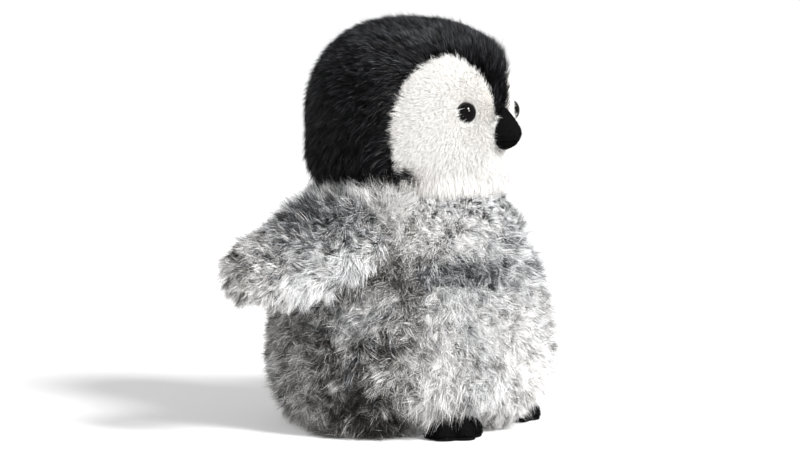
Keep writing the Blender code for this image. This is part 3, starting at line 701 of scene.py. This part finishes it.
def makeTorso():
    middles = torsoForm["middles"]
    halves = {"right": middles[:, 0] < 0, "left": middles[:, 0] >= 0}
    upper = middles[:, 2] > torsoStrands["waist"]
    onFront = torsoLabels == torsoPanels.index("belly_panel")
    for side, half in halves.items():
        panel = f"back_panel_{side}"
        onBack = torsoLabels == torsoPanels.index(panel)
        parts = {"chest": onFront & half & upper, "belly": onFront & half & ~upper, "back": onBack}
        for part, where in parts.items():
            growPile(f"{part}_pile_{side}", "torso", greyCoat, torsoForm, where, torsoStrands["part"],
                     torsoStyle, torsoComb, torsoShade, torsoLength)
        panelCloth(panel, torsoForm, f"back_cloth_{side}", "torso", greyCoat)
    panelCloth("belly_panel", torsoForm, "belly_cloth", "torso", greyCoat)
    panelCloth("base_panel", torsoForm, "base_cloth", "torso", greyCoat)
    onBase = torsoLabels == torsoPanels.index("base_panel")
    growPile("base_pile", "torso", greyCoat, torsoForm, onBase, torsoStrands["base"],
             baseStyle, torsoComb, torsoShade)


print("torso")
makeTorso()

# head
headPanels = ["crown_gusset", "head_side_right", "head_side_left", "face_right", "face_left", "throat_panel"]
headForm = wrapForm(headPanels, Vector((0, 0, 0.172)))
headLabels = labelFaces(headForm, headPanels)
blackStyle = {
    "length": 7.6 * mm, "uneven": 0.18, "lean": 56, "leanSpread": 12, "wild": 0.35, "curl": 1.3,
    "frizz": 0.12, "steps": (0.45, 0.55), "clump": 0.45, "perTuft": 14, "width": 0.28 * mm,
    "tipWidth": 0.6, "softness": 0.1, "jitter": 1.0 * mm,
}
whiteStyle = {
    "length": 3.8 * mm, "uneven": 0.2, "lean": 52, "leanSpread": 12, "wild": 0.3, "curl": 1.25,
    "frizz": 0.10, "steps": (0.5, 0.5), "clump": 0.0, "perTuft": 10, "width": 0.19 * mm,
    "tipWidth": 0.7, "softness": 1.6, "jitter": 0.8 * mm,
}
rimStyle = dict(whiteStyle, length=6.0 * mm, lean=50, wild=0.5, clump=0.45, width=0.24 * mm, softness=0.5)
faceRim = {"reach": 3.2 * mm, "strands": 2200, "middle": (0.035, -0.045, 0.176)}
faceMiddle = (0, -0.055, 0.180)
headPiles = {  # node: name, colour, strands
    "crown_gusset": ("crown", "black", 16000),
    "head_side_right": ("side_right", "black", 46000), "head_side_left": ("side_left", "black", 46000),
    "face_right": ("face_right", "white", 38000), "face_left": ("face_left", "white", 38000),
    "throat_panel": ("throat", "white", 9000),
}
eyeRoom = {"bare": 5.6 * mm, "full": 11 * mm, "shortest": 0.62}
beakRoom = {"wide": 0.55, "tall": 0.9}  # shares of the upper beak's half sizes
# a painted sheen: the black pile is painted lighter between the heights from and to
blackTone = {"tone": 0.16, "paintedSheen": 0.62, "from": 0.195, "to": 0.228, "tuft": 0.16, "strand": 0.34}
# the white pile's tone, and how much darker and more uneven it is where the cheek meets the collar
whiteTone = {"tone": 0.58, "strand": 0.13, "darkened": 0.42, "darkenedStrand": 0.2}


# strands at a white face's edge point away from the middle of its lobe
def rimComb(roots, normals):
    lobe = np.tile(faceRim["middle"], (len(roots), 1))
    lobe[:, 0] *= np.sign(roots[:, 0])
    return tangent(unit(roots - lobe) + swirl(roots, (5 * mm, 0.3, 55)), normals)


# the black pile lies from the brow back over the crown and down the nape
def blackComb(roots, normals):
    over = np.cross(normals, np.array([[1.0, 0, 0]]))
    over += np.array([0, 0.35, -0.55]) * (normals[:, :1] ** 2)
    return tangent(over + swirl(roots, (14 * mm, 0.25, 40)), normals)


# the white pile lies away from the middle of the face and a little down
def whiteComb(roots, normals):
    away = unit(roots - np.array(faceMiddle)) + np.array([0, 0, -0.25])
    return tangent(away + swirl(roots, (9 * mm, 0.35, 50)), normals)


def eyeAxis(side):
    meshes = [nodes[f"{part}_{side}"].data for part in ("eye", "eye_washer")]
    eye, washer = (np.array([vert.co for vert in mesh.vertices]) for mesh in meshes)
    axis = unit(eye.mean(axis=0) - washer.mean(axis=0))
    top = (eye @ axis).max()
    spot = washer.mean(axis=0)
    return spot + axis * (top - spot @ axis), axis


# no strand grows under an eye or the beak, and those next to them are short
def faceTrim(roots):
    scale = np.ones(len(roots))
    for side in ("right", "left"):
        top, axis = eyeAxis(side)
        away = roots - top
        off = np.linalg.norm(away - (away @ axis)[:, None] * axis, axis=1)
        rise = ramp(eyeRoom["bare"], eyeRoom["full"], off)
        short = eyeRoom["shortest"]
        scale *= np.where(off < eyeRoom["bare"], 0, short + (1 - short) * rise)
    low, high = (np.array(corner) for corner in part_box("beak_upper"))
    spot, half = (low + high) / 2, (high - low) / 2
    away = np.abs(roots - spot)
    inside = (away[:, 0] < half[0] * beakRoom["wide"]) & (away[:, 2] < half[2] * beakRoom["tall"])
    return np.where(inside & (roots[:, 1] < 0), 0, scale)


# painted sheen: the crown's pile is painted lighter towards the top, as if it took more of the sky's light
# than the sides', and single strands glint
def blackShade(roots, leaders):
    look = blackTone
    paintedSheen = ramp(look["from"], look["to"], roots[:, 2]) * (0.6 + 0.4 * smoothNoise(roots, 9 * mm, 44))
    tone = look["tone"] + look["paintedSheen"] * paintedSheen + look["tuft"] * rng.normal(size=len(roots))[leaders]
    return asShade(tone + look["strand"] * rng.normal(size=len(roots)))


# the white pile is darker grey where the cheek meets the collar
def whiteShade(roots, leaders):
    look = whiteTone
    darkened = hill(np.abs(azimuthOf(roots)), 58, 8) * hill(roots[:, 2], 0.146, 0.009)
    strand = (look["strand"] + look["darkenedStrand"] * darkened) * rng.normal(size=len(roots))
    return asShade(look["tone"] - look["darkened"] * darkened + strand)


def whiteLength(roots):  # longer towards the throat
    return faceTrim(roots) * (1 + 0.6 * ramp(0.156, 0.143, roots[:, 2]))


def rimLength(roots):  # only at the back of the face, below the brow
    back = ramp(-0.050, -0.030, roots[:, 1]) * ramp(0.208, 0.190, roots[:, 2])
    return np.where(back > 0.05, 0.3 + 0.7 * back, 0)


# longer over the beak and at the nape, and shorter at the front of the crown
def blackLength(roots):
    height = roots[:, 2]
    front = ramp(0.0, -0.02, roots[:, 1])
    brow = hill(roots[:, 0], 0, 0.022) * hill(height, 0.210, 0.006) * front
    scale = 1 + 0.65 * brow + 0.4 * ramp(0.178, 0.150, height) - 0.15 * ramp(0.216, 0.224, height) * front
    return faceTrim(roots) * scale


def makeHead():
    looks = {
        "black": (blackCoat, blackStyle, blackComb, blackShade, blackLength),
        "white": (whiteCoat, whiteStyle, whiteComb, whiteShade, whiteLength),
    }
    for node, (name, colour, count) in headPiles.items():
        coat, style, comb, shade, trim = looks[colour]
        where = headLabels == headPanels.index(node)
        growPile(f"{name}_pile", "head", coat, headForm, where, count, style, comb, shade, trim)
        panelCloth(node, headForm, f"{name}_cloth", "head", coat)
    # long bristles at the edge of each white face cross over into the black pile
    black = nodeTree("crown_gusset", "head_side_right", "head_side_left")
    atRim = distancesTo(black, headForm["middles"]) < faceRim["reach"]
    for side in ("right", "left"):
        where = atRim & (headLabels == headPanels.index(f"face_{side}"))
        growPile(f"face_rim_pile_{side}", "head", whiteCoat, headForm, where, faceRim["strands"],
                 rimStyle, rimComb, evenShade(0.35, 0.35), rimLength)


print("head")
makeHead()

# at the throat the white pile stands out and hangs over the collar
throatStyle = dict(
    whiteStyle, length=11 * mm, uneven=0.34, lean=34, leanSpread=9, curl=2.5, wild=0.35,
    clump=0.35, width=0.26 * mm,
)
throatHem = {"from": 0.1395, "to": 0.1485, "strands": 8000}


def makeThroatHem():
    height = headForm["middles"][:, 2]
    white = headLabels >= headPanels.index("face_right")
    hem = white & (height > throatHem["from"]) & (height < throatHem["to"])

    def comb(roots, normals):
        return tangent(np.array([0, 0, -1.0]) + swirl(roots, (6 * mm, 0.3, 58)), normals)

    growPile("throat_hem_pile", "head", whiteCoat, headForm, hem, throatHem["strands"],
             throatStyle, comb, whiteShade)


print("throat and bristles")
makeThroatHem()

# single bristles lap over the lower edge of each eye and over the beak's base
lashStyle = dict(
    whiteStyle, length=4.4 * mm, uneven=0.3, lean=16, leanSpread=14, curl=2.2, clump=0.3, perTuft=4,
    width=0.22 * mm, jitter=0.2 * mm,
)
whiskerStyle = dict(
    blackStyle, length=4.0 * mm, uneven=0.4, lean=40, leanSpread=18, wild=0.5, clump=0.3, perTuft=5,
    width=0.22 * mm, jitter=0.6 * mm,
)
bristleStyle = dict(lashStyle, length=4.0 * mm, lean=10, wild=0.6)
eyeLashes = {"from": 6.0 * mm, "to": 8.2 * mm, "strands": 300, "backwards": 0.3, "least": 0.15}
beakEdge = {"reach": 3.4 * mm, "whiskers": 520, "bristles": 900}


def makeLashes(side):
    top, axis = eyeAxis(side)
    middles = headForm["middles"]
    off = middles - top
    off -= (off @ axis)[:, None] * axis
    away = np.linalg.norm(off, axis=1)
    back = np.cross(axis, [0, 0, 1.0]) * (1 if side == "right" else -1)
    lower = unit(np.array([0, 0, -1.0]) + eyeLashes["backwards"] * back)
    below = unit(off) @ lower > eyeLashes["least"]
    around = (away > eyeLashes["from"]) & (away < eyeLashes["to"]) & below & (middles @ axis > 0)

    def comb(roots, normals):
        return tangent(unit(top - roots) + np.array([0, 0, 0.5]), normals)

    growPile(f"eye_lashes_{side}", "head", whiteCoat, headForm, around, eyeLashes["strands"],
             lashStyle, comb, whiteShade)


def makeWhiskers():
    beak = nodeTree("beak_upper", "beak_lower")
    around = distancesTo(beak, headForm["middles"]) < beakEdge["reach"]
    centre = np.array(middleOf("beak_upper"))

    def comb(roots, normals):
        return tangent(unit(roots - centre) + np.array([0, 0, -0.4]), normals)

    def inwards(roots, normals):
        return -comb(roots, normals)

    white = around & (headLabels >= headPanels.index("face_right"))
    growPile("beak_whiskers", "head", blackCoat, headForm, around, beakEdge["whiskers"],
             whiskerStyle, comb, evenShade(0.5, 0.22))
    growPile("beak_bristles", "head", whiteCoat, headForm, white, beakEdge["bristles"],
             bristleStyle, inwards, whiteShade)


for side in ("right", "left"):
    makeLashes(side)
makeWhiskers()

# flippers
flipperStyle = dict(torsoStyle, length=10 * mm, lean=50, wild=0.4)
innerStyle = dict(whiteStyle, length=6.5 * mm, lean=52)
flipperLayout = {"halfWidth": 0.021, "outerStrands": 26000, "innerStrands": 13000}
flipperMottle = {
    "tone": 0.74, "waves": [(18 * mm, 0.16, 70), (8 * mm, 0.14, 72)],
    "flecks": [(4 * mm, 0.25, 0.60, 0.45, 73)],
}


def makeFlipper(side):
    body = f"flipper_{side}"
    outer, inner = f"flipper_outer_{side}", f"flipper_inner_{side}"
    joint = next(joint for joint in frame["record"]["behaviour"]["joints"] if joint["child"] == body)
    root, across = np.array(joint["pos_m"]), np.array(joint["axis"])
    middle = np.array((middleOf(outer) + middleOf(inner)) / 2)
    along = unit(middle - root)
    across = unit(across - along * (across @ along))
    upwards = across * np.sign(across[2])
    long = 2 * np.linalg.norm(middle - root)
    form = wrapForm([outer, inner], Vector(middle), along=along, evening=3)
    labels = labelFaces(form, [outer, inner])

    # run is 0 at the root and 1 at the tip; wide is 1 at the upper edge and -1 at the lower
    def onFlipper(spots):
        away = spots - root
        return away @ along / long, away @ upwards / flipperLayout["halfWidth"]

    def comb(roots, normals):
        run, wide = onFlipper(roots)
        lift = 1.1 * ramp(0.1, 0.7, wide) * ramp(0.70, 0.30, run) - 0.35 - 0.35 * ramp(-0.35, -0.75, wide)
        turned = swirl(roots, (14 * mm, 0.9, 60), (6 * mm, 0.5, 63))
        return tangent(along + lift[:, None] * np.array([0, 0, 1]) + turned, normals)

    def shade(roots, leaders):
        spots = (roots[leaders] + roots) / 2
        run, wide = onFlipper(spots)
        tone = mottled(spots, flipperMottle)
        dark = hill(run, 0.32, 0.19) * hill(wide, 0.60, 0.42)
        tone -= 1.35 * dark * (0.8 + 0.6 * smoothNoise(spots, 6 * mm, 74))
        tone += 0.10 * ramp(0.65, 0.90, run)
        tone += 0.36 * ramp(-0.40, -0.70, wide) * ramp(0.90, 0.6, run)
        return greyShade(tone, 0.3 + 0.5 * ramp(0.55, 0.95, run), leaders)

    def flipperLength(roots):
        run, wide = onFlipper(roots)
        hem = ramp(-0.35, -0.75, wide) * hill(run, 0.55, 0.28)
        return 1 + 0.75 * ramp(0.1, 0.7, wide) * ramp(0.70, 0.30, run) + 0.5 * hem

    growPile(f"flipper_outer_pile_{side}", body, greyCoat, form, labels == 0, flipperLayout["outerStrands"],
             flipperStyle, comb, shade, flipperLength)
    growPile(f"flipper_inner_pile_{side}", body, whiteCoat, form, labels == 1, flipperLayout["innerStrands"],
             innerStyle, comb, evenShade(0.5, 0.2))
    panelCloth(outer, form, f"flipper_outer_cloth_{side}", body, greyCoat)
    panelCloth(inner, form, f"flipper_inner_cloth_{side}", body, whiteCoat)


print("flippers")
for side in ("right", "left"):
    makeFlipper(side)

# feet and beak: short pile over a rounded cloth
fuzzStyle = {
    "length": 1.3 * mm, "uneven": 0.25, "lean": 35, "leanSpread": 14, "wild": 0.6, "curl": 1.2,
    "frizz": 0.2, "steps": (0.5, 0.5), "clump": 0.15, "perTuft": 12, "width": 0.16 * mm,
    "tipWidth": 0.7, "softness": 0.6, "jitter": 0.3 * mm,
}
feltStyle = dict(fuzzStyle, length=0.9 * mm, width=0.13 * mm, wild=1.0)
fuzzStrands = {"foot": 10000, "upper": 7000, "lower": 2500}


def downComb(roots, normals):
    return tangent(np.array([0, -0.3, -1.0]) + swirl(roots, (5 * mm, 0.3, 80)), normals)


def makeFoot(side):
    body = f"foot_{side}"
    upper, sole = f"foot_upper_{side}", f"foot_sole_{side}"
    form = wrapForm([upper, sole], middleOf(upper), evening=2)
    labels = labelFaces(form, [upper, sole], 1.5 * mm)
    growPile(f"foot_pile_{side}", body, velourCoat, form, labels == 0, fuzzStrands["foot"],
             fuzzStyle, downComb, evenShade(0.5, 0.22))
    panelCloth(upper, form, f"foot_cloth_{side}", body, velourCoat, finest=2 * mm)
    panelCloth(sole, form, f"sole_cloth_{side}", body, velourCoat, finest=3 * mm)


def makeBeak():
    panels = ["beak_upper", "beak_lower"]
    form = wrapForm(panels, middleOf("beak_upper") + Vector((0, 0, -2 * mm)), level=5, evening=2)
    labels = labelFaces(form, panels, 1.0 * mm)
    for k, half in enumerate(("upper", "lower")):
        growPile(f"beak_pile_{half}", "head", feltCoat, form, labels == k, fuzzStrands[half],
                 feltStyle, downComb, evenShade(0.5, 0.22))
    for half in ("upper", "lower"):
        panelCloth(f"beak_{half}", form, f"beak_felt_{half}", "head", feltCoat, finest=1.5 * mm)


print("feet and beak")
for side in ("right", "left"):
    makeFoot(side)
makeBeak()

# eyes
eyeShape = {
    "radius": 6.0 * mm, "height": 5.0 * mm, "shank": 2.0 * mm, "back": 14.0 * mm, "facets": 48,
    "under": 0.15 * mm, "underIn": 0.3 * mm, "point": 1 * mm, "turn": 6,
}
eyeLook = {"roughness": 0.05, "specular": 0.22, "grain": 900, "grainShift": 0.12}


def eyeMaterial():
    material, tree, shader = newMaterial("eyePlastic", eyeLook["roughness"])
    shader.inputs["Specular IOR Level"].default_value = eyeLook["specular"]
    rings = tree.nodes.new("ShaderNodeAttribute")
    rings.attribute_name = "ring"
    noise = tree.nodes.new("ShaderNodeTexNoise")
    noise.inputs["Scale"].default_value = eyeLook["grain"]
    coordinates = tree.nodes.new("ShaderNodeTexCoord")
    tree.links.new(coordinates.outputs["Object"], noise.inputs["Vector"])
    ring = tree.nodes.new("ShaderNodeMath")
    ring.operation = "MULTIPLY_ADD"
    ring.inputs[1].default_value = eyeLook["grainShift"]
    tree.links.new(noise.outputs["Fac"], ring.inputs[0])
    tree.links.new(rings.outputs["Fac"], ring.inputs[2])
    stops = [
        (0.0, grey(0.002)), (0.55, (0.003, 0.002, 0.002)),
        (0.72, (0.005, 0.004, 0.004)), (0.95, grey(0.002)),
    ]
    tree.links.new(colourRamp(tree, ring.outputs["Value"], stops), shader.inputs["Base Color"])
    return material


def makeEye(side, material):
    shape = eyeShape
    top, axis = eyeAxis(side)
    radius, shank, bottom = shape["radius"], shape["shank"], -shape["height"]
    turns = [math.radians(degrees) for degrees in range(0, 91, shape["turn"])]
    outline = [(radius * math.sin(turn), bottom * (1 - math.cos(turn))) for turn in turns]
    under = bottom - shape["under"]
    outline += [(radius - shape["underIn"], under), (shank, under)]
    outline += [(shank, bottom - shape["back"] + shape["point"]), (0.0, bottom - shape["back"])]
    bm = bmesh.new()
    verts = [bm.verts.new((r, 0, z)) for r, z in outline]
    edges = [bm.edges.new(pair) for pair in zip(verts, verts[1:])]
    bmesh.ops.spin(
        bm, geom=verts + edges, cent=(0, 0, 0), axis=(0, 0, 1),
        angle=2 * math.pi, steps=shape["facets"], use_merge=True)
    bmesh.ops.remove_doubles(bm, verts=bm.verts, dist=0.01 * mm)
    bmesh.ops.recalc_face_normals(bm, faces=bm.faces)
    rings = [math.hypot(vert.co.x, vert.co.y) / radius for vert in bm.verts]
    turn = Vector((0, 0, 1)).rotation_difference(Vector(axis)).to_matrix().to_4x4()
    bmesh.ops.transform(bm, matrix=Matrix.Translation(Vector(top)) @ turn, verts=bm.verts)
    piece = finishPiece(bm, f"eye_dome_{side}", sharp=40)
    ring = piece.data.attributes.new("ring", "FLOAT", "POINT")
    ring.data.foreach_set("value", rings)
    place(piece, "head", "eye_plastic", material, f"eye_{side}")


print("eyes")
eyePlastic = eyeMaterial()
for side in ("right", "left"):
    makeEye(side, eyePlastic)


# filling: lumpy fibre in every stuffed part
fibreLumps = {"coarse": 7 * mm, "fine": 3 * mm, "fill": 0.8}


def makeFilling(node, name, body, finest, lump):
    bm = finerMesh(node, finest)
    spots = np.array([vert.co for vert in bm.verts])
    coarse = 0.5 + 0.5 * smoothNoise(spots, fibreLumps["coarse"], 90)
    fine = 0.6 + 0.4 * smoothNoise(spots, fibreLumps["fine"], 91)
    dents = lump * coarse * fine
    moves = [vert.normal * -dent for vert, dent in zip(bm.verts, dents)]
    for vert, move in zip(bm.verts, moves):
        vert.co += move
    place(finishPiece(bm, name), body, "stuffing", fibreFill, node, fill=fibreLumps["fill"])


beanBag = {"beans": 330, "size": 2.1 * mm, "flat": 0.75, "share": 0.96, "rounds": 30, "push": 0.35}


def makeBeans():
    low, high = (np.array(corner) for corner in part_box("bean_pellets"))
    middle, half = (low + high) / 2, (high - low) / 2 - beanBag["size"]
    bm = bmesh.new()
    spots = rng.normal(size=(beanBag["beans"], 3))
    spots = unit(spots) * rng.random((beanBag["beans"], 1)) ** (1 / 3)
    for _ in range(beanBag["rounds"]):  # beans push each other apart inside the pouch
        gaps = spots[:, None, :] * half - spots[None, :, :] * half
        far = np.linalg.norm(gaps, axis=2) + np.eye(len(spots))
        push = np.maximum(2 * beanBag["size"] - far, 0) / far * (1 - np.eye(len(spots)))
        spots = (spots * half + beanBag["push"] * (gaps * push[:, :, None]).sum(axis=1)) / half
        spots /= np.maximum(np.linalg.norm(spots, axis=1, keepdims=True), 1)
    for spot in spots:
        turn = Matrix.Rotation(rng.random() * math.pi, 4, Vector(unit(rng.normal(size=3))))
        flat = Matrix.Diagonal((1, 1, beanBag["flat"], 1))
        bean = Matrix.Translation(Vector(middle + spot * half)) @ turn @ flat
        radius = beanBag["size"] * beanBag["share"]
        bmesh.ops.create_uvsphere(bm, u_segments=7, v_segments=5, radius=radius, matrix=bean)
    place(finishPiece(bm, "beans"), "torso", "pellets", beanPlastic, "bean_pellets")


print("filling, beans and threads")
makeFilling("body_stuffing", "body_filling", "torso", finest=6 * mm, lump=1.4 * mm)
makeFilling("head_stuffing", "head_filling", "head", finest=6 * mm, lump=1.4 * mm)
makeFilling("beak_stuffing", "beak_filling", "head", finest=2 * mm, lump=0.3 * mm)
for side in ("right", "left"):
    for limb, finest, lump in (("flipper", 4 * mm, 0.6 * mm), ("foot", 2 * mm, 0.4 * mm)):
        makeFilling(f"{limb}_stuffing_{side}", f"{limb}_filling_{side}", f"{limb}_{side}", finest, lump)
makeBeans()

# small parts that keep the shape of their own solids
keptNodes = {
    "bean_bag_top": cottonLining, "bean_bag_bottom": cottonLining,
    "back_closing_thread": sewingThread, "neck_thread": sewingThread,
}
for side in ("right", "left"):
    keptNodes[f"eye_washer_{side}"] = washerPlastic
    keptNodes[f"toe_thread_inner_{side}"] = sewingThread
    keptNodes[f"toe_thread_outer_{side}"] = sewingThread
for node, material in keptNodes.items():
    nodes[node].data.materials.clear()
    nodes[node].data.materials.append(material)
